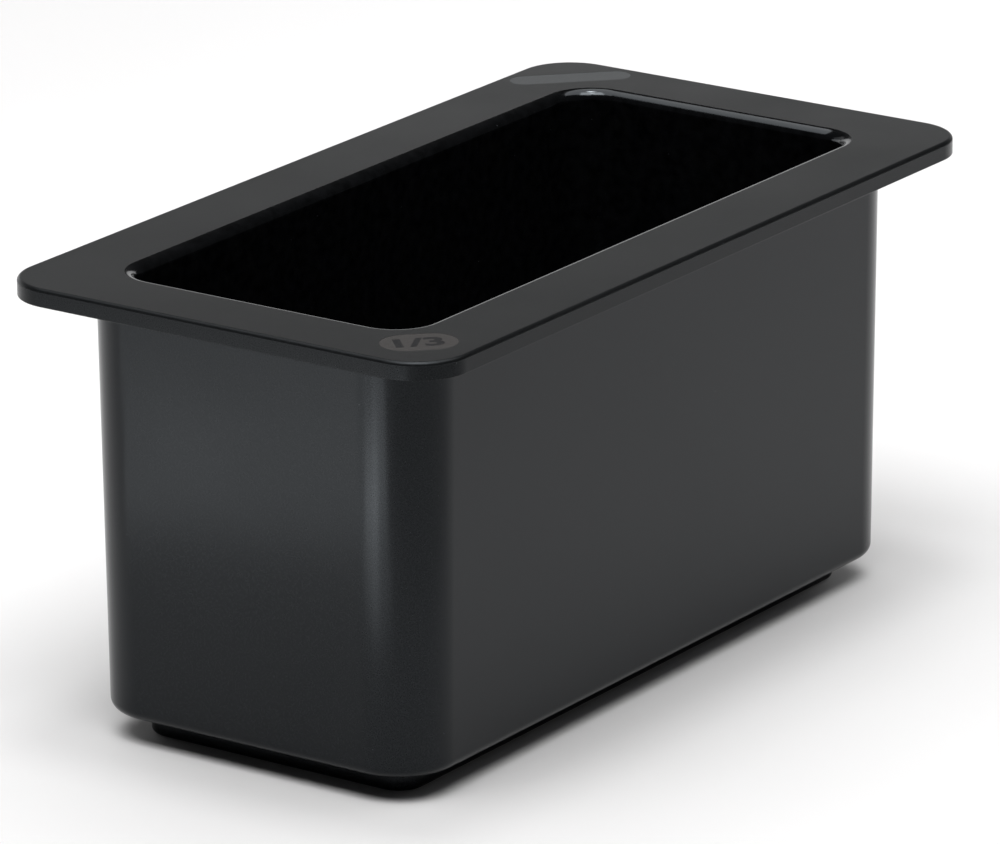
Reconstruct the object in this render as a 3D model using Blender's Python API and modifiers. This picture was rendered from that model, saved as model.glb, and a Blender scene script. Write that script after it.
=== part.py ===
"""Deli food pan for cold holding, one-third gastronorm size, about 150 mm deep.

The pan is double walled. A food well hangs inside an outer shell, both moulded in black plastic,
and a coolant gel fills the space between them. The well's wide rim turns down at its edge and covers
the shell's flange, which is bonded to it all round. The gel goes in through a port in the shell's
floor, and a second port lets the air out. Each port is closed with a push-in plug.

Units are metres. +Z is up, +X runs along the pan, and the origin is under the middle of the foot.
Every wall is drafted and every corner radius changes with it, so the walls are lofts through rings.
A ring is a rounded rectangle at one height.
"""

import math
from collections import namedtuple

import bmesh
import bpy
from mathutils import Matrix

# Overall size
RIM_LENGTH = 0.324
RIM_WIDTH = 0.174
HEIGHT = 0.15875
RIM_CORNER = 0.019

# Plastic and fits
WALL = 0.003
GAP = 0.0003
DRAFT = math.tan(math.radians(0.65))

# Rim of the food well
RIM_PLATE = 0.0028
RIM_DEPTH = 0.0062
RIM_SKIRT = 0.003
RIM_TOP_ROUND = 0.0014
RIM_BOTTOM_ROUND = 0.0003
LIP_ROUND = 0.0038

# Food well: its wall at the foot of the lip, and its floor
WELL_HALF_LENGTH = 0.13345
WELL_HALF_WIDTH = 0.0568
WELL_CORNER = 0.0127
WELL_DEPTH = 0.138
WELL_FLOOR_ROUND = 0.010

# Outer shell: its wall where it leaves the rim
SHELL_HALF_LENGTH = 0.1465
SHELL_HALF_WIDTH = 0.0685
SHELL_CORNER = 0.023
SHELL_BOTTOM_ROUND = 0.0038

# Foot: the stepped-in base that the pan stands on
FOOT_HEIGHT = 0.00895
FOOT_INSET = 0.0126
FOOT_CORNER = 0.010
FOOT_BOTTOM_ROUND = 0.0015
FOOT_TAPER = 0.0003
STAND_RING_WIDTH = 0.008
STAND_RING_HEIGHT = 0.0012
STAND_RING_TAPER = 0.0004
INNER_FILLET = 0.0012

# Bond between the rim and the shell's flange: a bead in a groove
BEAD_INSET = 0.0095
GROOVE_WIDTH = 0.003
GROOVE_DEPTH = 0.0012
BEAD_WIDTH = 0.0024

# Gel: it stops short of the rim, because it swells when it freezes
GEL_HEADSPACE = 0.020

# Ports in the shell's floor, and their plugs
FILL_PORT_X = 0.055
FILL_PORT_RADIUS = 0.006
VENT_PORT_X = -0.055
VENT_PORT_RADIUS = 0.003
PORT_WALL = 0.004
BOSS_HEIGHT = 0.004
PLUG_HEAD_HEIGHT = 0.0015
PLUG_CHAMFER = 0.0008

# Labels let into the rim at two opposite corners. Both lie across their corner.
LABEL_THICKNESS = 0.0005
SIZE_LABEL = (0.0254, 0.0173)
SIZE_LABEL_PLACE = (-0.1407, -0.0669)
PLAIN_LABEL = (0.0433, 0.0109)
PLAIN_LABEL_PLACE = (0.1410, 0.0664)
LABEL_TURN = -math.pi / 4

# Fineness
CORNER_STEPS = 10
ROUND_STEPS = 4
TURNED_STEPS = 32

# Heights that follow from the sizes above
RIM_UNDERSIDE = HEIGHT - RIM_DEPTH
PLATE_UNDERSIDE = HEIGHT - RIM_PLATE
FLANGE_TOP = PLATE_UNDERSIDE - GAP
WELL_FLOOR = HEIGHT - WELL_DEPTH
WELL_UNDERSIDE = WELL_FLOOR - WALL
SHELL_FLOOR = STAND_RING_HEIGHT + WALL
SHELL_STEP = FOOT_HEIGHT + WALL
GEL_TOP = HEIGHT - GEL_HEADSPACE

Outline = namedtuple("Outline", "half_length half_width corner")

RIM = Outline(RIM_LENGTH / 2, RIM_WIDTH / 2, RIM_CORNER)


def grow(outline, distance):
    """The outline moved outwards all round, with its corners on the same centres."""
    return Outline(*(value + distance for value in outline))


def well_wall(z):
    """Inner outline of the food well at a height."""
    top = Outline(WELL_HALF_LENGTH, WELL_HALF_WIDTH, WELL_CORNER)
    return grow(top, -(HEIGHT - LIP_ROUND - z) * DRAFT)


def shell_wall(z):
    """Outer outline of the shell at a height."""
    top = Outline(SHELL_HALF_LENGTH, SHELL_HALF_WIDTH, SHELL_CORNER)
    return grow(top, -(RIM_UNDERSIDE - z) * DRAFT)


def foot_wall():
    """Outer outline of the foot where it meets the shell's step."""
    step = grow(shell_wall(FOOT_HEIGHT), -FOOT_INSET)
    return Outline(step.half_length, step.half_width, FOOT_CORNER)


def ring_points(outline, z):
    """Points of one ring, anticlockwise from where the +X side meets the +X +Y corner."""
    points = []
    for quarter in range(4):
        side_x = 1 if quarter in (0, 3) else -1
        side_y = 1 if quarter in (0, 1) else -1
        centre_x = side_x * (outline.half_length - outline.corner)
        centre_y = side_y * (outline.half_width - outline.corner)
        for step in range(CORNER_STEPS + 1):
            angle = (quarter + step / CORNER_STEPS) * math.pi / 2
            x = centre_x + outline.corner * math.cos(angle)
            y = centre_y + outline.corner * math.sin(angle)
            points.append((x, y, z))
    return points


def round_rings(centre, z, radius, first_degrees, last_degrees):
    """Rings round an edge: an arc seen in the wall's section, about a centre outline at a height."""
    rings = []
    for step in range(ROUND_STEPS + 1):
        turn = first_degrees + (last_degrees - first_degrees) * step / ROUND_STEPS
        angle = math.radians(turn)
        rings.append((grow(centre, radius * math.cos(angle)), z + radius * math.sin(angle)))
    return rings


def new_collection(name):
    collection = bpy.data.collections.new(name)
    bpy.context.scene.collection.children.link(collection)
    return collection


def add_object(name, mesh, collection, material=None):
    obj = bpy.data.objects.new(name, mesh)
    collection.objects.link(obj)
    if material:
        mesh.materials.append(material)
    return obj


def as_cutter(obj):
    obj.hide_render = True
    obj.display_type = "WIRE"
    return obj


def loft(name, rings, collection, material=None, endless=False):
    """One closed body through rings. The end rings are filled in, or joined when it is endless."""
    bm = bmesh.new()
    loops = [[bm.verts.new(point) for point in ring_points(*ring)] for ring in rings]
    pairs = list(zip(loops, loops[1:]))
    if endless:
        pairs.append((loops[-1], loops[0]))
    else:
        bm.faces.new(loops[0])
        bm.faces.new(loops[-1])
    for lower, upper in pairs:
        for i in range(len(lower)):
            j = (i + 1) % len(lower)
            bm.faces.new((lower[i], lower[j], upper[j], upper[i]))
    bmesh.ops.remove_doubles(bm, verts=bm.verts, dist=1e-7)
    bmesh.ops.recalc_face_normals(bm, faces=bm.faces)
    mesh = bpy.data.meshes.new(name)
    bm.to_mesh(mesh)
    bm.free()
    mesh.shade_smooth()
    mesh.set_sharp_from_angle(angle=math.radians(35))
    return add_object(name, mesh, collection, material)


def cylinder(name, radius, low, high, x, collection):
    """An upright cylinder on the pan's long centre line."""
    bm = bmesh.new()
    bmesh.ops.create_cone(
        bm,
        cap_ends=True,
        segments=TURNED_STEPS,
        radius1=radius,
        radius2=radius,
        depth=high - low,
        matrix=Matrix.Translation((x, 0, (low + high) / 2)),
    )
    mesh = bpy.data.meshes.new(name)
    bm.to_mesh(mesh)
    bm.free()
    return as_cutter(add_object(name, mesh, collection))


def combine(obj, tool, operation):
    """Cuts a tool out of an object, or joins it on."""
    modifier = obj.modifiers.new(f"{operation.lower()} {tool.name}", "BOOLEAN")
    modifier.operation = operation
    modifier.object = tool
    modifier.solver = "EXACT"


def plastic(name, colour, roughness):
    material = bpy.data.materials.new(name)
    material.use_nodes = True
    shader = material.node_tree.nodes["Principled BSDF"]
    shader.inputs["Base Color"].default_value = (*colour, 1)
    shader.inputs["Roughness"].default_value = roughness
    shader.inputs["Metallic"].default_value = 0
    return material


def make_food_well(parts, cutters, material):
    """The glossy well with its wide rim, in one moulding of even thickness."""
    outer_round = WELL_FLOOR_ROUND + WALL
    bend = LIP_ROUND - WALL
    bottom = well_wall(WELL_FLOOR + WELL_FLOOR_ROUND)
    lip = grow(well_wall(HEIGHT - LIP_ROUND), LIP_ROUND)
    rings = round_rings(grow(bottom, -WELL_FLOOR_ROUND), WELL_FLOOR + WELL_FLOOR_ROUND, outer_round, -90, 0)
    rings += round_rings(lip, PLATE_UNDERSIDE - bend, bend, 180, 90)
    rings += [
        (grow(RIM, -RIM_SKIRT), PLATE_UNDERSIDE),
        (grow(RIM, -RIM_SKIRT), RIM_UNDERSIDE),
    ]
    rings += round_rings(grow(RIM, -RIM_BOTTOM_ROUND), RIM_UNDERSIDE + RIM_BOTTOM_ROUND, RIM_BOTTOM_ROUND, -90, 0)
    rings += round_rings(grow(RIM, -RIM_TOP_ROUND), HEIGHT - RIM_TOP_ROUND, RIM_TOP_ROUND, 0, 90)
    rings += round_rings(lip, HEIGHT - LIP_ROUND, LIP_ROUND, 90, 180)
    rings += round_rings(grow(bottom, -WELL_FLOOR_ROUND), WELL_FLOOR + WELL_FLOOR_ROUND, WELL_FLOOR_ROUND, 0, -90)
    well = loft("food_well", rings, parts, material)
    for name, size, place in (
        ("size_label_pocket", SIZE_LABEL, SIZE_LABEL_PLACE),
        ("plain_label_pocket", PLAIN_LABEL, PLAIN_LABEL_PLACE),
    ):
        pocket_floor = HEIGHT - LABEL_THICKNESS - GAP
        pocket = pill(name, size, GAP, pocket_floor, HEIGHT + WALL, place, cutters)
        combine(well, as_cutter(pocket), "DIFFERENCE")
    return well


def make_outer_shell(parts, cutters, material):
    """The outer wall with its flange, its stepped-in foot and the two ports in its floor."""
    foot = foot_wall()
    foot_tip = grow(foot, -FOOT_TAPER)
    stand_inner = grow(foot_tip, -STAND_RING_WIDTH)
    bottom_edge = FOOT_HEIGHT + SHELL_BOTTOM_ROUND
    wall_bottom = shell_wall(bottom_edge)
    inner_step = grow(shell_wall(SHELL_STEP), -WALL)
    inner_top = grow(shell_wall(FLANGE_TOP), -WALL)
    flange_edge = grow(RIM, -RIM_SKIRT - GAP)
    groove_outer = grow(RIM, -BEAD_INSET + GROOVE_WIDTH / 2)
    groove_inner = grow(RIM, -BEAD_INSET - GROOVE_WIDTH / 2)
    groove_floor = FLANGE_TOP - GROOVE_DEPTH
    rings = [
        (grow(stand_inner, -STAND_RING_TAPER), STAND_RING_HEIGHT),
        (stand_inner, 0),
    ]
    rings += round_rings(grow(foot_tip, -FOOT_BOTTOM_ROUND), FOOT_BOTTOM_ROUND, FOOT_BOTTOM_ROUND, -90, 0)
    rings += [(foot, FOOT_HEIGHT)]
    rings += round_rings(grow(wall_bottom, -SHELL_BOTTOM_ROUND), bottom_edge, SHELL_BOTTOM_ROUND, -90, 0)
    rings += [
        (shell_wall(RIM_UNDERSIDE), RIM_UNDERSIDE),
        (flange_edge, RIM_UNDERSIDE),
        (flange_edge, FLANGE_TOP),
        (groove_outer, FLANGE_TOP),
        (groove_outer, groove_floor),
        (groove_inner, groove_floor),
        (groove_inner, FLANGE_TOP),
    ]
    rings += round_rings(grow(inner_top, INNER_FILLET), FLANGE_TOP - INNER_FILLET, INNER_FILLET, 90, 180)
    rings += round_rings(grow(inner_step, -INNER_FILLET), SHELL_STEP + INNER_FILLET, INNER_FILLET, 0, -90)
    rings += [
        (grow(foot, -WALL), SHELL_STEP),
        (grow(foot, -WALL - FOOT_TAPER), SHELL_FLOOR),
    ]
    shell = loft("outer_shell", rings, parts, material)
    for kind, x, radius in (("fill", FILL_PORT_X, FILL_PORT_RADIUS), ("vent", VENT_PORT_X, VENT_PORT_RADIUS)):
        seat = STAND_RING_HEIGHT + PLUG_HEAD_HEIGHT + GAP
        boss = cylinder(f"{kind}_boss", radius + PORT_WALL, seat, SHELL_FLOOR + BOSS_HEIGHT, x, cutters)
        counterbore = cylinder(f"{kind}_counterbore", radius + PORT_WALL + GAP, -WALL, seat, x, cutters)
        port = cylinder(f"{kind}_port", radius, -WALL, SHELL_FLOOR + BOSS_HEIGHT + WALL, x, cutters)
        combine(shell, boss, "UNION")
        combine(shell, counterbore, "DIFFERENCE")
        combine(shell, port, "DIFFERENCE")
    return shell


def make_coolant_gel(parts, cutters, material):
    """The gel: it follows the shell outside and the well inside, with clear gaps to both."""
    foot_low = grow(foot_wall(), -WALL - FOOT_TAPER - GAP)
    foot_high = grow(foot_wall(), -WALL - GAP)
    step = grow(shell_wall(SHELL_STEP), -WALL - GAP)
    outer_top = grow(shell_wall(GEL_TOP), -WALL - GAP)
    inner_top = grow(well_wall(GEL_TOP), WALL + GAP)
    well_bottom = well_wall(WELL_FLOOR + WELL_FLOOR_ROUND)
    inner_round = WELL_FLOOR_ROUND + WALL + GAP
    rings = [
        (foot_low, SHELL_FLOOR + GAP),
        (foot_high, SHELL_STEP + GAP),
    ]
    rings += round_rings(grow(step, -INNER_FILLET), SHELL_STEP + GAP + INNER_FILLET, INNER_FILLET, -90, 0)
    rings += [(outer_top, GEL_TOP), (inner_top, GEL_TOP)]
    rings += round_rings(grow(well_bottom, -WELL_FLOOR_ROUND), WELL_FLOOR + WELL_FLOOR_ROUND, inner_round, 0, -90)
    gel = loft("coolant_gel", rings, parts, material)
    for kind, x, radius in (("fill", FILL_PORT_X, FILL_PORT_RADIUS), ("vent", VENT_PORT_X, VENT_PORT_RADIUS)):
        boss_top = SHELL_FLOOR + BOSS_HEIGHT + GAP
        boss_room = cylinder(f"{kind}_boss_room", radius + PORT_WALL + GAP, 0, boss_top, x, cutters)
        combine(gel, boss_room, "DIFFERENCE")
    return gel


def make_bond_bead(parts, material):
    """The bead of adhesive that holds the rim on the shell's flange and seals the gel in."""
    outer = grow(RIM, -BEAD_INSET + BEAD_WIDTH / 2)
    inner = grow(RIM, -BEAD_INSET - BEAD_WIDTH / 2)
    low = FLANGE_TOP - GROOVE_DEPTH + GAP
    rings = [(outer, low), (outer, FLANGE_TOP), (inner, FLANGE_TOP), (inner, low)]
    return loft("rim_bond_bead", rings, parts, material, endless=True)


def make_plug(kind, x, port_radius, parts, material):
    """A push-in plug: a flat head in the counterbore and a stem that fills the port."""
    head = port_radius + PORT_WALL
    stem = port_radius - GAP
    tip = SHELL_FLOOR + BOSS_HEIGHT
    head_top = STAND_RING_HEIGHT + PLUG_HEAD_HEIGHT
    profile = [
        (0, tip),
        (stem - PLUG_CHAMFER, tip),
        (stem, tip - PLUG_CHAMFER),
        (stem, head_top),
        (head, head_top),
        (head, STAND_RING_HEIGHT),
        (0, STAND_RING_HEIGHT),
    ]
    mesh = bpy.data.meshes.new(f"{kind}_plug")
    edges = [(i, i + 1) for i in range(len(profile) - 1)]
    mesh.from_pydata([(radius, 0, z) for radius, z in profile], edges, [])
    plug = add_object(f"{kind}_plug", mesh, parts, material)
    plug.location.x = x
    turn = plug.modifiers.new("turn", "SCREW")
    turn.steps = TURNED_STEPS
    turn.render_steps = TURNED_STEPS
    turn.use_merge_vertices = True
    turn.merge_threshold = 0.00005
    return plug


def pill(name, size, margin, low, high, place, collection, material=None):
    """An upright plate with round ends, laid across a corner of the rim."""
    half_length = size[0] / 2 + margin
    half_width = size[1] / 2 + margin
    outline = Outline(half_length, half_width, half_width)
    plate = loft(name, [(outline, low), (outline, high)], collection, material)
    plate.location = (*place, 0)
    plate.rotation_euler.z = LABEL_TURN
    return plate


def main():
    for obj in list(bpy.data.objects):
        bpy.data.objects.remove(obj)
    parts = new_collection("deli_food_pan")
    cutters = new_collection("cutters")
    black = plastic("black_plastic", (0.030, 0.033, 0.035), 0.45)
    gel_blue = plastic("gel", (0.20, 0.45, 0.60), 0.30)
    bond_grey = plastic("bond", (0.06, 0.06, 0.06), 0.50)
    plug_black = plastic("plug_rubber", (0.020, 0.020, 0.020), 0.70)
    label_grey = plastic("label", (0.105, 0.100, 0.095), 0.55)

    make_food_well(parts, cutters, black)
    make_outer_shell(parts, cutters, black)
    make_coolant_gel(parts, cutters, gel_blue)
    make_bond_bead(parts, bond_grey)
    make_plug("fill", FILL_PORT_X, FILL_PORT_RADIUS, parts, plug_black)
    make_plug("vent", VENT_PORT_X, VENT_PORT_RADIUS, parts, plug_black)
    label_floor = HEIGHT - LABEL_THICKNESS
    pill("size_label", SIZE_LABEL, 0, label_floor, HEIGHT, SIZE_LABEL_PLACE, parts, label_grey)
    pill("plain_label", PLAIN_LABEL, 0, label_floor, HEIGHT, PLAIN_LABEL_PLACE, parts, label_grey)


main()
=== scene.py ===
"""Looks of the double-walled deli food pan: fine meshes, moulded-plastic finishes, studio and camera.

Units are metres, in the frame's own axes: +X along the pan, +Z up, the floor at z = 0.
"""

import math
from collections import namedtuple

import bmesh
import bpy
from mathutils import Matrix, Vector


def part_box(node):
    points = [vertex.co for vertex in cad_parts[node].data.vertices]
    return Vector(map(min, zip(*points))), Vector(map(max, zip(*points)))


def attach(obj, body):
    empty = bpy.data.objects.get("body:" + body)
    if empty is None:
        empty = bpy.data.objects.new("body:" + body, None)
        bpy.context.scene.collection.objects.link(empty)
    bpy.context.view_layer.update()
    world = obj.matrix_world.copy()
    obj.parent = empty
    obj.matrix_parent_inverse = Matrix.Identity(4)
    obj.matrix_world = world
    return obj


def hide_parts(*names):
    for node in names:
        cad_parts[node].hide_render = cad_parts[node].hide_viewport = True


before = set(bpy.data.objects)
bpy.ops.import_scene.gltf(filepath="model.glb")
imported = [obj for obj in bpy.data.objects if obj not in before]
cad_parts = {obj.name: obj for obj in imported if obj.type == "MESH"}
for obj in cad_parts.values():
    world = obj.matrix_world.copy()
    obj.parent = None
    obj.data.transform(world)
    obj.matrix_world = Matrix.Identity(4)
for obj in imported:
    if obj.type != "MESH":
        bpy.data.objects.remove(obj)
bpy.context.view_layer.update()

# Camera, as solved from the rim's outline. The lens and the sensor are in millimetres
CAMERA_PLACE = (-2.1166, -1.4684, 0.9249)
CAMERA_AZIMUTH = math.radians(55.254)
CAMERA_DROP = math.radians(18.125)
CAMERA_ROLL = math.radians(-0.394)
CAMERA_LENS = 289.5
CAMERA_SENSOR_WIDTH = 36
CAMERA_REACH = 50

# Sizes that the frame gives
RIM_LOW, RIM_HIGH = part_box("food_well")
HEIGHT = RIM_HIGH.z
WELL_UNDERSIDE = RIM_LOW.z
SIZE_LABEL_PLACE = sum(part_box("size_label"), Vector()) / 2
PLAIN_LABEL_PLACE = sum(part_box("plain_label"), Vector()) / 2

# Sizes of the mouldings and the plugs, the same as the CAD model's
WALL = 0.003
GAP = 0.0003
DRAFT = math.tan(math.radians(0.65))
RIM_CORNER = 0.019
RIM_PLATE = 0.0028
RIM_DEPTH = 0.0062
RIM_SKIRT = 0.003
RIM_TOP_ROUND = 0.0014
RIM_BOTTOM_ROUND = 0.0003
LIP_ROUND = 0.0038
WELL_TOP = (0.13345, 0.0568, 0.0127)  # half length, half width, corner radius
WELL_FLOOR_ROUND = 0.010
SHELL_TOP = (0.1465, 0.0685, 0.023)  # half length, half width, corner radius
SHELL_BOTTOM_ROUND = 0.0038
FOOT_HEIGHT = 0.00895
FOOT_INSET = 0.0126
FOOT_CORNER = 0.010
FOOT_BOTTOM_ROUND = 0.0015
FOOT_TAPER = 0.0003
STAND_RING_WIDTH = 0.008
STAND_RING_HEIGHT = 0.0012
STAND_RING_TAPER = 0.0004
INNER_FILLET = 0.0012
GROOVE_WIDTH = 0.003
BEAD_INSET = 0.0095
GROOVE_DEPTH = 0.0012
PORT_WALL = 0.004
BOSS_HEIGHT = 0.004
PLUG_HEAD_HEIGHT = 0.0015
PLUG_CHAMFER = 0.0008
SIZE_LABEL = (0.0254, 0.0173)
PLAIN_LABEL = (0.0433, 0.0109)
LABEL_TURN = -math.pi / 4

# Details that only the shown meshes have
FOOT_ROOT_ROUND = 0.0008
EDGE_ROUND = 0.0003
PLUG_HEAD_ROUND = 0.0005
PLUG_DISH = 0.0004
PLUG_DISH_FLAT = 0.35  # part of the head's radius
PLUG_DISH_EDGE = 0.5  # part of the head's radius
LABEL_POCKET = 0.0008
LABEL_GAP = 0.00005
LABEL_SINK = 0.00002
SIZE_FIGURES = "1/3"
FIGURE_SIZE = (0.0160, 0.0090)
FIGURE_THICKNESS = 0.00002
FIGURE_BOLDNESS = 0.035

# Colours and the scale of the surface detail
WELL_COLOUR = (0.0020, 0.0021, 0.0024)
RIM_COLOUR = (0.0042, 0.0045, 0.0048)
SHELL_COLOUR = (0.0042, 0.0045, 0.0050)
NEAR_LABEL_COLOUR = (0.028, 0.0255, 0.0245)
FAR_LABEL_COLOUR = (0.045, 0.048, 0.050)
INK_COLOUR = (0.005, 0.005, 0.006)
SPECK_COLOUR = (0.06, 0.065, 0.07)
PLASTIC_TONES = (0.45, 1.8)  # darkest and lightest grain, as parts of the colour
GLOSS_PATCH = 0.055
SPECK_SPACING = 0.009
SPECK_RADIUS = 0.0002
COOL_TINT = (0.92, 1.0, 1.07, 1)

# Studio
WORLD_COLOUR = (1, 1, 1, 1)
WORLD_STRENGTH = 0.03
FLOOR_HALF_SIZE = 12
LIGHT_TARGET = Vector((0, 0, 0.10))
PANEL_HEIGHT = 0.003
CARD_GREY = (0.6, 0.6, 0.6)
CARD_WAY = math.radians(260)
CARD_START = 0.17
CARD_END = 1.1
CARD_NEAR_HALF_WIDTH = 0.2
CARD_FAR_HALF_WIDTH = 1.3
CARD_HEIGHT = 0.0015

# Fineness of the shown meshes
CORNER_STEPS = 24
ROUND_STEPS = 10
LIP_STEPS = 16
TURNED_STEPS = 64
PLUG_ROUND_STEPS = 4
FIGURE_CURVE_STEPS = 6
SHARP_ANGLE = math.radians(40)

# Points of a mesh that are closer than this are one point
LOFT_MERGE = 1e-7
MERGE = 1e-6

Outline = namedtuple("Outline", "half_length half_width corner")
RIM = Outline(RIM_HIGH.x, RIM_HIGH.y, RIM_CORNER)
RIM_UNDERSIDE = HEIGHT - RIM_DEPTH
PLATE_UNDERSIDE = HEIGHT - RIM_PLATE
FLANGE_TOP = PLATE_UNDERSIDE - GAP
WELL_FLOOR = WELL_UNDERSIDE + WALL
SHELL_FLOOR = STAND_RING_HEIGHT + WALL
SHELL_STEP = FOOT_HEIGHT + WALL
LABEL_TOP = HEIGHT - LABEL_SINK


# ---------------------------------------------------------------- outlines and rings


def grow(outline, distance):
    """The outline moved outwards all round, with its corners on the same centres."""
    return Outline(*(value + distance for value in outline))


def well_wall(z):
    """The well's inside at a height: it narrows downwards by the draft, corners included."""
    return grow(Outline(*WELL_TOP), -(HEIGHT - LIP_ROUND - z) * DRAFT)


def shell_wall(z):
    """The shell's outside at a height, drafted in the same way."""
    return grow(Outline(*SHELL_TOP), -(RIM_UNDERSIDE - z) * DRAFT)


def foot_wall():
    """The stepped-in foot's outside at its top."""
    step = grow(shell_wall(FOOT_HEIGHT), -FOOT_INSET)
    return Outline(step.half_length, step.half_width, FOOT_CORNER)


def ring_points(outline, z):
    """Points of one rounded-rectangle ring, anticlockwise."""
    points = []
    for quarter in range(4):
        side_x = 1 if quarter in (0, 3) else -1
        side_y = 1 if quarter in (0, 1) else -1
        centre_x = side_x * (outline.half_length - outline.corner)
        centre_y = side_y * (outline.half_width - outline.corner)
        for step in range(CORNER_STEPS + 1):
            angle = (quarter + step / CORNER_STEPS) * math.pi / 2
            x = centre_x + outline.corner * math.cos(angle)
            y = centre_y + outline.corner * math.sin(angle)
            points.append((x, y, z))
    return points


def arc(centre, z, radius, first_degrees, last_degrees, steps=ROUND_STEPS):
    """Rings round an edge: an arc seen in the wall's section, about a centre outline at a height."""
    rings = []
    for step in range(steps + 1):
        turn = first_degrees + (last_degrees - first_degrees) * step / steps
        angle = math.radians(turn)
        rings.append((grow(centre, radius * math.cos(angle)), z + radius * math.sin(angle)))
    return rings


# ---------------------------------------------------------------- meshes


def new_object(name, bm, materials):
    """Turns a bmesh into an object in the scene."""
    mesh = bpy.data.meshes.new(name)
    bm.to_mesh(mesh)
    bm.free()
    for material in materials:
        mesh.materials.append(material)
    obj = bpy.data.objects.new(name, mesh)
    bpy.context.scene.collection.objects.link(obj)
    return obj


def loft(name, sections, materials):
    """A closed body through rings. A section is (rings, material index); its first band leads into it."""
    bm = bmesh.new()
    loops = []
    for rings, index in sections:
        for ring in rings:
            loops.append(([bm.verts.new(point) for point in ring_points(*ring)], index))
    for loop, index in (loops[0], loops[-1]):
        bm.faces.new(loop).material_index = index
    for (lower, _), (upper, index) in zip(loops, loops[1:]):
        for i in range(len(lower)):
            j = (i + 1) % len(lower)
            bm.faces.new((lower[i], lower[j], upper[j], upper[i])).material_index = index
    bmesh.ops.remove_doubles(bm, verts=bm.verts, dist=LOFT_MERGE)
    bmesh.ops.recalc_face_normals(bm, faces=bm.faces)
    return new_object(name, bm, materials)


def turned(name, profile, place, materials):
    """A body of revolution about an upright axis, from a profile of (radius, height) points."""
    bm = bmesh.new()
    points = [bm.verts.new((radius, 0, z)) for radius, z in profile]
    edges = [bm.edges.new(pair) for pair in zip(points, points[1:])]
    bmesh.ops.spin(
        bm,
        geom=points + edges,
        cent=(0, 0, 0),
        axis=(0, 0, 1),
        angle=math.tau,
        steps=TURNED_STEPS,
        use_merge=True,
    )
    bmesh.ops.remove_doubles(bm, verts=bm.verts, dist=MERGE)
    bmesh.ops.recalc_face_normals(bm, faces=bm.faces)
    obj = new_object(name, bm, materials)
    obj.location = place
    return obj


def carve(obj, tool, operation="DIFFERENCE"):
    """Cuts a tool out of an object, or joins it on, and applies the result."""
    modifier = obj.modifiers.new(operation, "BOOLEAN")
    modifier.operation = operation
    modifier.object = tool
    modifier.solver = "EXACT"
    bpy.context.view_layer.update()
    evaluated = obj.evaluated_get(bpy.context.evaluated_depsgraph_get())
    carved = bpy.data.meshes.new_from_object(evaluated)
    obj.modifiers.clear()
    obj.data = carved
    bpy.data.objects.remove(tool)


def smooth(obj):
    """Smooth shading that keeps flats flat and leaves real corners sharp."""
    obj.data.shade_smooth()
    obj.data.set_sharp_from_angle(angle=SHARP_ANGLE)
    weighted = obj.modifiers.new("flat faces lead", "WEIGHTED_NORMAL")
    weighted.keep_sharp = True
    weighted.weight = 100


def pill(name, size, margin, low, high, place, materials):
    """An upright plate with round ends, laid across a corner of the rim."""
    half_length = size[0] / 2 + margin
    half_width = size[1] / 2 + margin
    outline = Outline(half_length, half_width, half_width)
    plate = loft(name, [([(outline, low), (outline, high)], 0)], materials)
    plate.location = (place.x, place.y, 0)
    plate.rotation_euler.z = LABEL_TURN
    return plate


# ---------------------------------------------------------------- materials


def add_node(tree, kind, sockets=None, **settings):
    """A shader node with its settings and its unlinked sockets filled in."""
    node = tree.nodes.new(kind)
    for setting, value in settings.items():
        setattr(node, setting, value)
    for socket, value in (sockets or {}).items():
        node.inputs[socket].default_value = value
    return node


def new_material(name, sockets):
    """A material whose shader has the given constant sockets."""
    material = bpy.data.materials.new(name)
    material.use_nodes = True
    shader = material.node_tree.nodes["Principled BSDF"]
    for socket, value in sockets.items():
        shader.inputs[socket].default_value = value
    return material, material.node_tree, shader


def textured(tree, kind, feature_size, stretch=(1, 1, 1), **sockets):
    """A texture in the piece's own metres. The feature size is in metres, longer where stretched."""
    place = add_node(tree, "ShaderNodeTexCoord")
    scale = Vector(1 / (feature_size * value) for value in stretch)
    mapping = add_node(tree, "ShaderNodeMapping", {"Scale": scale})
    texture = add_node(tree, kind, {"Scale": 1, **sockets})
    tree.links.new(place.outputs["Object"], mapping.inputs["Vector"])
    tree.links.new(mapping.outputs["Vector"], texture.inputs["Vector"])
    return texture


def noise(tree, feature_size, detail=2, stretch=(1, 1, 1)):
    """Cloudy noise, as a socket that mostly lies between 0.3 and 0.7."""
    return textured(tree, "ShaderNodeTexNoise", feature_size, stretch, Detail=detail).outputs["Fac"]


def to_range(tree, value, low, high, from_low=0.3, from_high=0.7):
    """Carries a texture's usual values onto the range from low to high."""
    sockets = {"From Min": from_low, "From Max": from_high, "To Min": low, "To Max": high}
    node = add_node(tree, "ShaderNodeMapRange", sockets)
    tree.links.new(value, node.inputs["Value"])
    return node.outputs["Result"]


def mixed(tree, factor, first, second):
    """Two colours, or a colour socket and a colour, mixed by a factor socket."""
    node = add_node(tree, "ShaderNodeMix", data_type="RGBA")
    tree.links.new(factor, node.inputs["Factor"])
    # The node has sockets for several types: 6, 7 and the output 2 are the ones for colour
    for socket, colour in ((node.inputs[6], first), (node.inputs[7], second)):
        if isinstance(colour, tuple):
            socket.default_value = (*colour, 1)
        else:
            tree.links.new(colour, socket)
    return node.outputs[2]


def lightened(colour, factor):
    """The colour made lighter, or darker when the factor is below 1."""
    return tuple(value * factor for value in colour)


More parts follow.
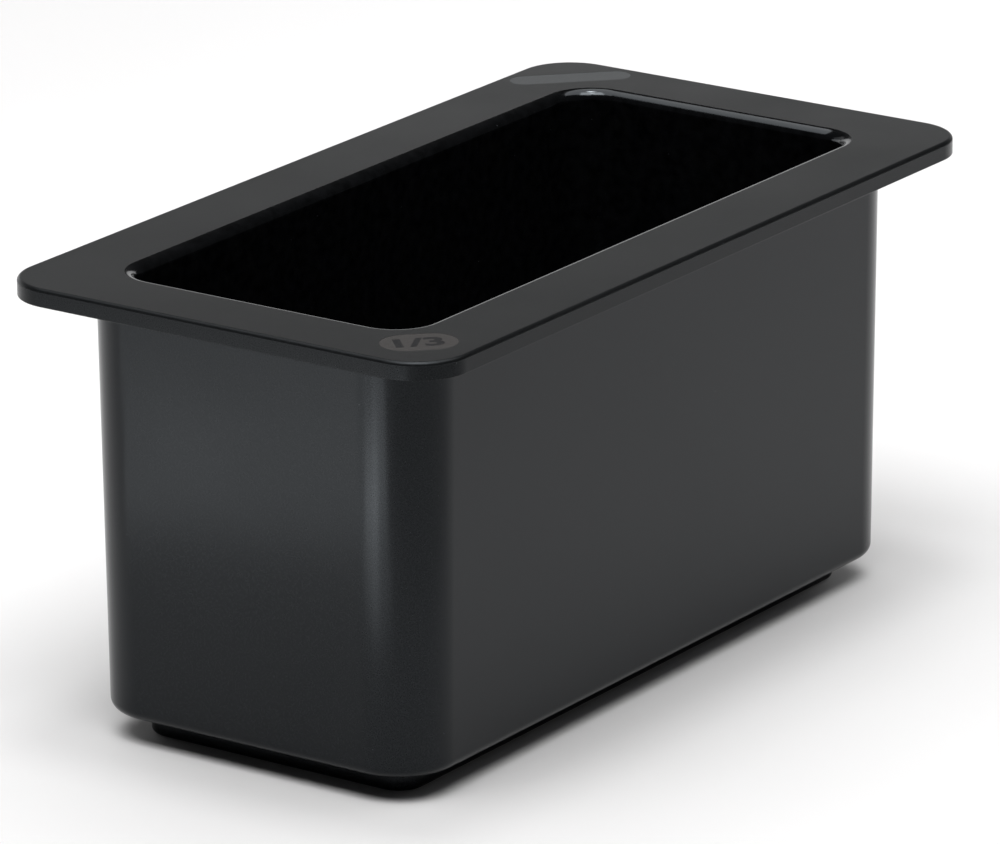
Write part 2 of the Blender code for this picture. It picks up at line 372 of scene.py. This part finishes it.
def bumped(tree, shader, height, depth):
    """Raises the surface by a height socket, by up to the depth in metres."""
    bump = add_node(tree, "ShaderNodeBump", {"Strength": 1, "Distance": depth})
    tree.links.new(height, bump.inputs["Height"])
    tree.links.new(bump.outputs["Normal"], shader.inputs["Normal"])


def specks(tree):
    """1 in the few places where a pale speck of dust sits, 0 elsewhere."""
    cells = textured(tree, "ShaderNodeTexVoronoi", SPECK_SPACING)
    radius = SPECK_RADIUS / SPECK_SPACING
    distance = cells.outputs["Distance"]
    return to_range(tree, distance, low=1, high=0, from_low=radius * 0.6, from_high=radius * 1.2)


def moulded_plastic(name, colour, roughness, drift, grain_size, grain_depth, specular):
    """Moulded black plastic: grain of the mould, drifting gloss, mottled tone and a few pale specks."""
    sockets = {"Specular IOR Level": specular, "Specular Tint": COOL_TINT}
    material, tree, shader = new_material(name, sockets)
    gloss = to_range(tree, noise(tree, GLOSS_PATCH, detail=3), roughness - drift, roughness + drift)
    tree.links.new(gloss, shader.inputs["Roughness"])
    grain = noise(tree, grain_size, detail=3)
    darkest, lightest = (lightened(colour, factor) for factor in PLASTIC_TONES)
    tone = mixed(tree, to_range(tree, grain, low=0, high=1), darkest, lightest)
    tone = mixed(tree, specks(tree), tone, SPECK_COLOUR)
    tree.links.new(tone, shader.inputs["Base Color"])
    bumped(tree, shader, grain, grain_depth)
    return material


def printed_label(name, colour, specular):
    """A matt print, for the labels and their ink: a fine brushed tooth and a slightly uneven tone."""
    material, tree, shader = new_material(name, {"Specular IOR Level": specular})
    tooth = noise(tree, feature_size=0.0004, stretch=(4, 1, 1))
    evenness = to_range(tree, tooth, low=0, high=1)
    tone = mixed(tree, evenness, lightened(colour, 0.85), lightened(colour, 1.15))
    tree.links.new(tone, shader.inputs["Base Color"])
    tree.links.new(to_range(tree, tooth, low=0.42, high=0.52), shader.inputs["Roughness"])
    bumped(tree, shader, tooth, depth=0.000003)
    return material


def plug_rubber():
    """Soft rubber: matt, faintly powdery, with moulding grain."""
    material, tree, shader = new_material("plug_rubber", {"Specular IOR Level": 0.3})
    bloom = noise(tree, feature_size=0.004, detail=4)
    powder = to_range(tree, bloom, low=0, high=1)
    tone = mixed(tree, powder, (0.035, 0.036, 0.038), (0.075, 0.076, 0.078))
    tree.links.new(tone, shader.inputs["Base Color"])
    tree.links.new(to_range(tree, bloom, low=0.6, high=0.75), shader.inputs["Roughness"])
    bumped(tree, shader, noise(tree, feature_size=0.0003, detail=3), depth=0.00001)
    return material


def gel():
    """Blue coolant gel: clouded, wet, with small bubbles under its skin."""
    sockets = {"Transmission Weight": 0.4, "IOR": 1.36}
    material, tree, shader = new_material("coolant_gel", sockets)
    cloud = noise(tree, feature_size=0.02, detail=4)
    tone = mixed(tree, to_range(tree, cloud, low=0, high=1), (0.03, 0.16, 0.42), (0.10, 0.36, 0.66))
    tree.links.new(tone, shader.inputs["Base Color"])
    tree.links.new(to_range(tree, cloud, low=0.08, high=0.2), shader.inputs["Roughness"])
    bubbles = textured(tree, "ShaderNodeTexVoronoi", feature_size=0.003)
    bumped(tree, shader, bubbles.outputs["Distance"], depth=0.0002)
    return material


def adhesive():
    """The bond: grey, slightly lumpy, half glossy."""
    material, tree, shader = new_material("bond", {"Specular IOR Level": 0.5})
    lumps = noise(tree, feature_size=0.002, detail=3)
    tone = mixed(tree, to_range(tree, lumps, low=0, high=1), (0.16, 0.16, 0.15), (0.30, 0.30, 0.28))
    tree.links.new(tone, shader.inputs["Base Color"])
    tree.links.new(to_range(tree, lumps, low=0.3, high=0.45), shader.inputs["Roughness"])
    bumped(tree, shader, lumps, depth=0.0001)
    return material


def studio_paper():
    """The pale floor: matt paper, all but even."""
    material, tree, shader = new_material("studio_paper", {"Specular IOR Level": 0.2})
    cloud = noise(tree, feature_size=0.3)
    evenness = to_range(tree, cloud, low=0, high=1)
    tone = mixed(tree, evenness, (0.742, 0.737, 0.738), (0.752, 0.747, 0.748))
    tree.links.new(tone, shader.inputs["Base Color"])
    tree.links.new(to_range(tree, cloud, low=0.68, high=0.72), shader.inputs["Roughness"])
    return material


# ---------------------------------------------------------------- the pan's pieces


def make_well(gloss, matt, side):
    """The glossy well, its matt rim and the rim's smoother side, one moulding with three mould finishes."""
    outer_round = WELL_FLOOR_ROUND + WALL
    bend = LIP_ROUND - WALL
    floor_z = WELL_FLOOR + WELL_FLOOR_ROUND
    bottom = grow(well_wall(floor_z), -WELL_FLOOR_ROUND)
    lip = grow(well_wall(HEIGHT - LIP_ROUND), LIP_ROUND)
    skirt_inner = grow(RIM, -RIM_SKIRT)
    skirt_foot = RIM_UNDERSIDE + RIM_BOTTOM_ROUND
    skirt_head = HEIGHT - RIM_TOP_ROUND
    underside = arc(bottom, floor_z, outer_round, -90, 0)
    underside += arc(lip, PLATE_UNDERSIDE - bend, bend, 180, 90)
    skirt = [(skirt_inner, PLATE_UNDERSIDE), (skirt_inner, RIM_UNDERSIDE)]
    skirt += arc(grow(RIM, -RIM_BOTTOM_ROUND), skirt_foot, RIM_BOTTOM_ROUND, -90, 0, steps=5)
    skirt += [(RIM, skirt_head)]
    edge = arc(grow(RIM, -RIM_TOP_ROUND), skirt_head, RIM_TOP_ROUND, 0, 90)[1:]
    top = [(lip, HEIGHT)]
    inside = arc(lip, HEIGHT - LIP_ROUND, LIP_ROUND, 90, 180, steps=LIP_STEPS)[1:]
    inside += arc(bottom, floor_z, WELL_FLOOR_ROUND, 0, -90)
    sections = [(underside, 1), (skirt, 2), (edge, 1), (top, 1), (inside, 0)]
    well = loft("well_moulding", sections, [gloss, matt, side])
    for size, place in ((SIZE_LABEL, SIZE_LABEL_PLACE), (PLAIN_LABEL, PLAIN_LABEL_PLACE)):
        pocket = pill("pocket", size, LABEL_GAP, HEIGHT - LABEL_POCKET, HEIGHT + WALL, place, [matt])
        carve(well, pocket)
    smooth(well)
    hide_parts("food_well")
    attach(well, "root")


def shell_outside():
    """Rings from the underside, over the standing ring and the foot, up to the rim's underside."""
    foot = foot_wall()
    foot_tip = grow(foot, -FOOT_TAPER)
    stand_inner = grow(foot_tip, -STAND_RING_WIDTH)
    foot_root = FOOT_HEIGHT - FOOT_ROOT_ROUND
    wall_foot = FOOT_HEIGHT + SHELL_BOTTOM_ROUND
    wall_bottom = shell_wall(wall_foot)
    rings = [(grow(stand_inner, -STAND_RING_TAPER), STAND_RING_HEIGHT)]
    rings += arc(grow(stand_inner, EDGE_ROUND), EDGE_ROUND, EDGE_ROUND, 180, 270, steps=3)
    rings += arc(grow(foot_tip, -FOOT_BOTTOM_ROUND), FOOT_BOTTOM_ROUND, FOOT_BOTTOM_ROUND, -90, 0)
    rings += arc(grow(foot, FOOT_ROOT_ROUND), foot_root, FOOT_ROOT_ROUND, 180, 90, steps=4)
    rings += arc(grow(wall_bottom, -SHELL_BOTTOM_ROUND), wall_foot, SHELL_BOTTOM_ROUND, -90, 0)
    rings += [(shell_wall(RIM_UNDERSIDE), RIM_UNDERSIDE)]
    return rings


def shell_flange():
    """Rings round the flange: its edge, its top and the groove that holds the bond."""
    flange_edge = grow(RIM, -RIM_SKIRT - GAP)
    groove_outer = grow(RIM, -BEAD_INSET + GROOVE_WIDTH / 2)
    groove_inner = grow(RIM, -BEAD_INSET - GROOVE_WIDTH / 2)
    groove_floor = FLANGE_TOP - GROOVE_DEPTH
    rings = arc(grow(flange_edge, -EDGE_ROUND), RIM_UNDERSIDE + EDGE_ROUND, EDGE_ROUND, -90, 0, steps=3)
    rings += [
        (flange_edge, FLANGE_TOP),
        (groove_outer, FLANGE_TOP),
        (groove_outer, groove_floor),
        (groove_inner, groove_floor),
        (groove_inner, FLANGE_TOP),
    ]
    return rings


def shell_inside():
    """Rings from the flange down the inner wall, over the step and into the foot."""
    foot = foot_wall()
    inner_step = grow(shell_wall(SHELL_STEP), -WALL)
    inner_top = grow(shell_wall(FLANGE_TOP), -WALL)
    fillet_top = FLANGE_TOP - INNER_FILLET
    fillet_step = SHELL_STEP + INNER_FILLET
    rings = arc(grow(inner_top, INNER_FILLET), fillet_top, INNER_FILLET, 90, 180, steps=4)
    rings += arc(grow(inner_step, -INNER_FILLET), fillet_step, INNER_FILLET, 0, -90, steps=4)
    rings += [(grow(foot, -WALL), SHELL_STEP), (grow(foot, -WALL - FOOT_TAPER), SHELL_FLOOR)]
    return rings


def cut_ports(shell, satin):
    """The two ports in the shell's floor: a boss inside, a seat for the plug's head and a hole."""
    seat = STAND_RING_HEIGHT + PLUG_HEAD_HEIGHT + GAP
    for kind in ("fill", "vent"):
        low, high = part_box(f"{kind}_plug")
        place = Vector(((low.x + high.x) / 2, 0, 0))
        head = (high.x - low.x) / 2
        boss_top = SHELL_FLOOR + BOSS_HEIGHT
        for radius, bottom, top, operation in (
            (head, seat, boss_top, "UNION"),
            (head + GAP, -WALL, seat, "DIFFERENCE"),
            (head - PORT_WALL, -WALL, boss_top + WALL, "DIFFERENCE"),
        ):
            profile = [(0, top), (radius, top), (radius, bottom), (0, bottom)]
            carve(shell, turned("tool", profile, place, [satin]), operation)


def make_shell(satin):
    """The outer wall with its flange, stepped-in foot and the two ports."""
    rings = shell_outside() + shell_flange() + shell_inside()
    shell = loft("shell_moulding", [(rings, 0)], [satin])
    cut_ports(shell, satin)
    smooth(shell)
    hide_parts("outer_shell")
    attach(shell, "root")


def make_labels(near_label, far_label, ink):
    """The two label plates, let into the rim, and the size figures on the near one."""
    for name, node, size, place, label in (
        ("size_label_plate", "size_label", SIZE_LABEL, SIZE_LABEL_PLACE, near_label),
        ("plain_label_plate", "plain_label", PLAIN_LABEL, PLAIN_LABEL_PLACE, far_label),
    ):
        plate = pill(name, size, 0, HEIGHT - LABEL_POCKET + LABEL_GAP, LABEL_TOP, place, [label])
        smooth(plate)
        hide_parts(node)
        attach(plate, "root")
    make_figures(ink)


def figure_shapes():
    """The size figures as flat faces, as large as they are printed and centred on the origin."""
    text = bpy.data.curves.new("figures", "FONT")
    text.body = SIZE_FIGURES
    text.align_x = "CENTER"
    text.align_y = "CENTER"
    text.size = 1
    text.offset = FIGURE_BOLDNESS
    text.resolution_u = FIGURE_CURVE_STEPS
    made = bpy.data.objects.new("figures", text)
    bpy.context.scene.collection.objects.link(made)
    bpy.context.view_layer.update()
    outline = bpy.data.meshes.new_from_object(made.evaluated_get(bpy.context.evaluated_depsgraph_get()))
    bpy.data.objects.remove(made)
    bm = bmesh.new()
    bm.from_mesh(outline)
    bpy.data.meshes.remove(outline)
    low = Vector(min(vert.co[axis] for vert in bm.verts) for axis in range(3))
    high = Vector(max(vert.co[axis] for vert in bm.verts) for axis in range(3))
    middle = (low + high) / 2
    stretch = Vector((FIGURE_SIZE[0] / (high.x - low.x), FIGURE_SIZE[1] / (high.y - low.y), 1))
    for vert in bm.verts:
        vert.co = Vector(((vert.co.x - middle.x) * stretch.x, (vert.co.y - middle.y) * stretch.y, 0))
    bmesh.ops.remove_doubles(bm, verts=bm.verts, dist=MERGE)
    return bm


def make_figures(ink):
    """The size of the pan as plain figures, a thin print that is read from outside the corner."""
    bm = figure_shapes()
    extruded = bmesh.ops.extrude_face_region(bm, geom=bm.faces[:])
    for item in extruded["geom"]:
        if isinstance(item, bmesh.types.BMVert):
            item.co.z += FIGURE_THICKNESS
    for face in bm.faces:
        face.smooth = False
    bmesh.ops.recalc_face_normals(bm, faces=bm.faces)
    figures = new_object("size_figures", bm, [ink])
    figures.location = (SIZE_LABEL_PLACE.x, SIZE_LABEL_PLACE.y, LABEL_TOP - FIGURE_THICKNESS / 2)
    figures.rotation_euler.z = LABEL_TURN
    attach(figures, "root")


def make_plugs(rubber):
    """The two push-in plugs: a head with a soft edge and a shallow dish, and a stem."""
    for kind in ("fill", "vent"):
        low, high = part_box(f"{kind}_plug")
        head = (high.x - low.x) / 2
        stem = head - PORT_WALL - GAP
        height = high.z - low.z
        profile = [(0, PLUG_DISH), (head * PLUG_DISH_FLAT, PLUG_DISH), (head * PLUG_DISH_EDGE, 0)]
        for step in range(PLUG_ROUND_STEPS + 1):
            angle = math.pi / 2 * step / PLUG_ROUND_STEPS
            radius = head - PLUG_HEAD_ROUND + PLUG_HEAD_ROUND * math.sin(angle)
            profile.append((radius, PLUG_HEAD_ROUND - PLUG_HEAD_ROUND * math.cos(angle)))
        profile += [(head, PLUG_HEAD_HEIGHT), (stem, PLUG_HEAD_HEIGHT)]
        profile += [(stem, height - PLUG_CHAMFER), (stem - PLUG_CHAMFER, height), (0, height)]
        plug = turned(f"{kind}_plug_moulding", profile, ((low.x + high.x) / 2, 0, low.z), [rubber])
        smooth(plug)
        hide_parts(f"{kind}_plug")
        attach(plug, "root")


def finish_hidden_nodes():
    """The gel and the bond are right as the frame has them, so they only take their materials."""
    for node, material in (("coolant_gel", gel()), ("rim_bond_bead", adhesive())):
        for material_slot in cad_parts[node].material_slots:
            material_slot.material = material


# ---------------------------------------------------------------- studio


def make_camera():
    """The camera, turned from its compass direction, its drop below level and a slight roll."""
    data = bpy.data.cameras.new("camera")
    data.lens = CAMERA_LENS
    data.sensor_width = CAMERA_SENSOR_WIDTH
    data.clip_end = CAMERA_REACH
    camera = bpy.data.objects.new("camera", data)
    bpy.context.scene.collection.objects.link(camera)
    bpy.context.scene.camera = camera
    forward = Vector((
        math.cos(CAMERA_DROP) * math.sin(CAMERA_AZIMUTH),
        math.cos(CAMERA_DROP) * math.cos(CAMERA_AZIMUTH),
        -math.sin(CAMERA_DROP),
    ))
    level = Vector((math.cos(CAMERA_AZIMUTH), -math.sin(CAMERA_AZIMUTH), 0))
    up = level.cross(forward)
    right = math.cos(CAMERA_ROLL) * level + math.sin(CAMERA_ROLL) * up
    upright = math.cos(CAMERA_ROLL) * up - math.sin(CAMERA_ROLL) * level
    turn = Matrix((right, upright, -forward)).transposed()
    camera.matrix_world = Matrix.Translation(CAMERA_PLACE) @ turn.to_4x4()


def make_floor():
    """The plain floor, which fills the camera's view."""
    bm = bmesh.new()
    bmesh.ops.create_grid(bm, x_segments=1, y_segments=1, size=FLOOR_HALF_SIZE)
    new_object("studio_floor", bm, [studio_paper()])


def make_card():
    """A grey card on the floor in front of the near corner. Only reflections see it."""
    out = Vector((math.cos(CARD_WAY), math.sin(CARD_WAY), 0))
    across = Vector((-math.sin(CARD_WAY), math.cos(CARD_WAY), 0))
    corner = Vector((-SHELL_TOP[0], -SHELL_TOP[1], CARD_HEIGHT))
    bm = bmesh.new()
    near = [corner + out * CARD_START + across * side * CARD_NEAR_HALF_WIDTH for side in (-1, 1)]
    far = [corner + out * CARD_END + across * side * CARD_FAR_HALF_WIDTH for side in (1, -1)]
    bm.faces.new([bm.verts.new(point) for point in near + far])
    material, tree, shader = new_material("grey_card", {"Specular IOR Level": 0, "Roughness": 0.9})
    cloud = noise(tree, feature_size=0.2)
    shade = mixed(tree, cloud, lightened(CARD_GREY, 0.95), lightened(CARD_GREY, 1.05))
    tree.links.new(shade, shader.inputs["Base Color"])
    card = new_object("grey_card", bm, [material])
    card.visible_camera = False
    card.visible_diffuse = False
    card.visible_shadow = False


def add_light(name, place, size, radiance):
    """A rectangular light of even brightness that the camera doesn't see itself."""
    data = bpy.data.lights.new(name, "AREA")
    data.shape = "RECTANGLE"
    data.size, data.size_y = size
    data.energy = radiance * math.pi * size[0] * size[1]
    light = bpy.data.objects.new(name, data)
    bpy.context.scene.collection.objects.link(light)
    light.location = place
    light.visible_camera = False
    return light


def softbox(name, azimuth, elevation, distance, size, radiance, mirrored=True):
    """A softbox aimed at the pan. The azimuth is anticlockwise from +X, in degrees."""
    turn = math.radians(azimuth)
    rise = math.radians(elevation)
    way = Vector((math.cos(turn) * math.cos(rise), math.sin(turn) * math.cos(rise), math.sin(rise)))
    light = add_light(name, LIGHT_TARGET + way * distance, size, radiance)
    light.rotation_euler = (-way).to_track_quat("-Z", "Y").to_euler()
    light.visible_glossy = mirrored


def floor_panel(name, x, y, size, radiance, turn=0, lift=0):
    """A light panel that lies on the floor and faces up, for the low glow on the walls."""
    light = add_light(name, (x, y, PANEL_HEIGHT + lift), size, radiance)
    light.rotation_euler = (math.pi, 0, math.radians(turn))


def make_world():
    """A weak even glow from all round."""
    world = bpy.data.worlds.new("studio")
    bpy.context.scene.world = world
    world.use_nodes = True
    background = world.node_tree.nodes["Background"]
    background.inputs["Color"].default_value = WORLD_COLOUR
    background.inputs["Strength"].default_value = WORLD_STRENGTH


def make_lights():
    """Large softboxes overhead, smaller ones behind and beside the pan, and the low glow on its left."""
    softbox("overhead_key", azimuth=0, elevation=90, distance=3.0, size=(0.5, 0.5), radiance=20)
    softbox("overhead_wide", azimuth=0, elevation=90, distance=3.0, size=(4.4, 4.4), radiance=1.8)
    softbox("overhead_left", azimuth=180, elevation=66, distance=3.0, size=(1.4, 1.4), radiance=4.5)
    softbox("overhead_front", azimuth=235, elevation=66, distance=3.0, size=(1.4, 1.4), radiance=4.2)
    softbox("back_far", azimuth=35, elevation=8, distance=1.6, size=(2.0, 0.5), radiance=0.85)
    softbox("back_left_high", azimuth=75, elevation=24, distance=0.85, size=(0.7, 0.2), radiance=0.3)
    softbox("back_left_near", azimuth=85, elevation=10, distance=0.6, size=(0.5, 0.2), radiance=1.1)
    softbox(
        "right_low", azimuth=350, elevation=11, distance=1.2, size=(0.8, 0.4), radiance=3.2, mirrored=False
    )
    floor_panel("left_near", x=-0.35, y=-0.080, size=(0.11, 0.12), radiance=1.0)
    floor_panel("left_middle", x=-0.46, y=-0.090, size=(0.11, 0.14), radiance=3.5)
    floor_panel("left_far", x=-0.58, y=-0.095, size=(0.13, 0.17), radiance=1.4)
    floor_panel("left_side_near", x=-0.36, y=-0.015, size=(0.10, 0.10), radiance=1.4, lift=0.0006)
    floor_panel("left_side_far", x=-0.44, y=-0.015, size=(0.10, 0.12), radiance=3.3, lift=0.0012)
    floor_panel("left_back_near", x=-0.40, y=0.12, size=(0.14, 0.28), radiance=1.6, turn=-20)
    floor_panel("left_back_far", x=-0.52, y=0.20, size=(0.14, 0.40), radiance=1.2, turn=-30)


def plastic_finishes():
    """The four finishes of the two mouldings: well, rim top, rim side and shell."""
    gloss = moulded_plastic(
        "well_gloss",
        WELL_COLOUR,
        roughness=0.12,
        drift=0.02,
        grain_size=0.004,
        grain_depth=0.000002,
        specular=0.5,
    )
    matt = moulded_plastic(
        "rim_matt",
        RIM_COLOUR,
        roughness=0.35,
        drift=0.03,
        grain_size=0.0005,
        grain_depth=0.00002,
        specular=0.22,
    )
    side = moulded_plastic(
        "rim_side",
        RIM_COLOUR,
        roughness=0.25,
        drift=0.03,
        grain_size=0.0005,
        grain_depth=0.000014,
        specular=0.15,
    )
    satin = moulded_plastic(
        "shell_satin",
        SHELL_COLOUR,
        roughness=0.22,
        drift=0.03,
        grain_size=0.0006,
        grain_depth=0.000014,
        specular=0.20,
    )
    return gloss, matt, side, satin


def main():
    bpy.context.scene.view_settings.view_transform = "Standard"
    gloss, matt, side, satin = plastic_finishes()
    make_camera()
    make_floor()
    make_card()
    make_world()
    make_lights()
    make_well(gloss, matt, side)
    make_shell(satin)
    make_labels(
        printed_label("near_label", NEAR_LABEL_COLOUR, specular=0.35),
        printed_label("far_label", FAR_LABEL_COLOUR, specular=0.35),
        printed_label("label_ink", INK_COLOUR, specular=0.2),
    )
    make_plugs(plug_rubber())
    finish_hidden_nodes()


main()
